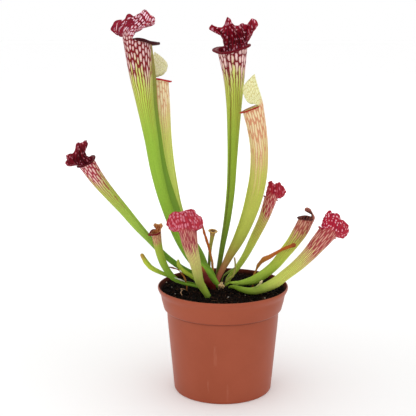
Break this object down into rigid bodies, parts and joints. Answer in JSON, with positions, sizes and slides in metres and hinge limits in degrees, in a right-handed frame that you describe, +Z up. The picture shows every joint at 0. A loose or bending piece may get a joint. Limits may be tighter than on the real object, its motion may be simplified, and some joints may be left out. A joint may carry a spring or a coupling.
{
  "type": "potted pitcher plant",
  "caption": "Trumpet pitcher plant with ruffled crimson hoods and veined tubular leaves rising from dark soil in a terracotta-coloured plastic pot.",
  "frame": {"origin": "centre of the pot's flat base, on the surface it stands on", "axes": "+Z up along the pot's axis; the viewer of the picture stands on the -Y side, +X to their right"},
  "size_m": [0.2522, 0.12, 0.3463],
  "materials": {
    "pot_plastic": "satin moulded plastic, terracotta coloured",
    "soil": "damp dark crumbly potting soil; fabric stands in for loose soil",
    "pitcher_leaf": "waxy leaf, green below with maroon netted veins near the mouth; leather stands in for living leaf",
    "green_leaf": "waxy green leaf; leather stands in for living leaf",
    "dry_leaf": "dry brown leaf and stalk; paper stands in for dead leaf"
  },
  "bodies": {
    "root": {"pot": "pot_plastic", "soil": "soil", "pitcher_tall_left": "pitcher_leaf", "pitcher_tall_tan": "pitcher_leaf", "pitcher_tall_right": "pitcher_leaf", "pitcher_olive": "pitcher_leaf", "pitcher_left_leaning": "pitcher_leaf", "pitcher_front": "pitcher_leaf", "pitcher_right_back": "pitcher_leaf", "pitcher_right_hooked": "pitcher_leaf", "pitcher_right_front": "pitcher_leaf", "pitcher_small_withered": "pitcher_leaf", "pitcher_slender_funnel": "pitcher_leaf", "leaf_low_left": "green_leaf", "leaf_bud_left": "green_leaf", "leaf_small_centre": "green_leaf", "tendril_curled": "green_leaf", "flower_stalk_dry": "dry_leaf", "leaf_dry_right": "dry_leaf", "sheath_old_red": "dry_leaf", "crown_stub": "dry_leaf", "leaf_dry_curl": "dry_leaf"}
  },
  "joints": []
}
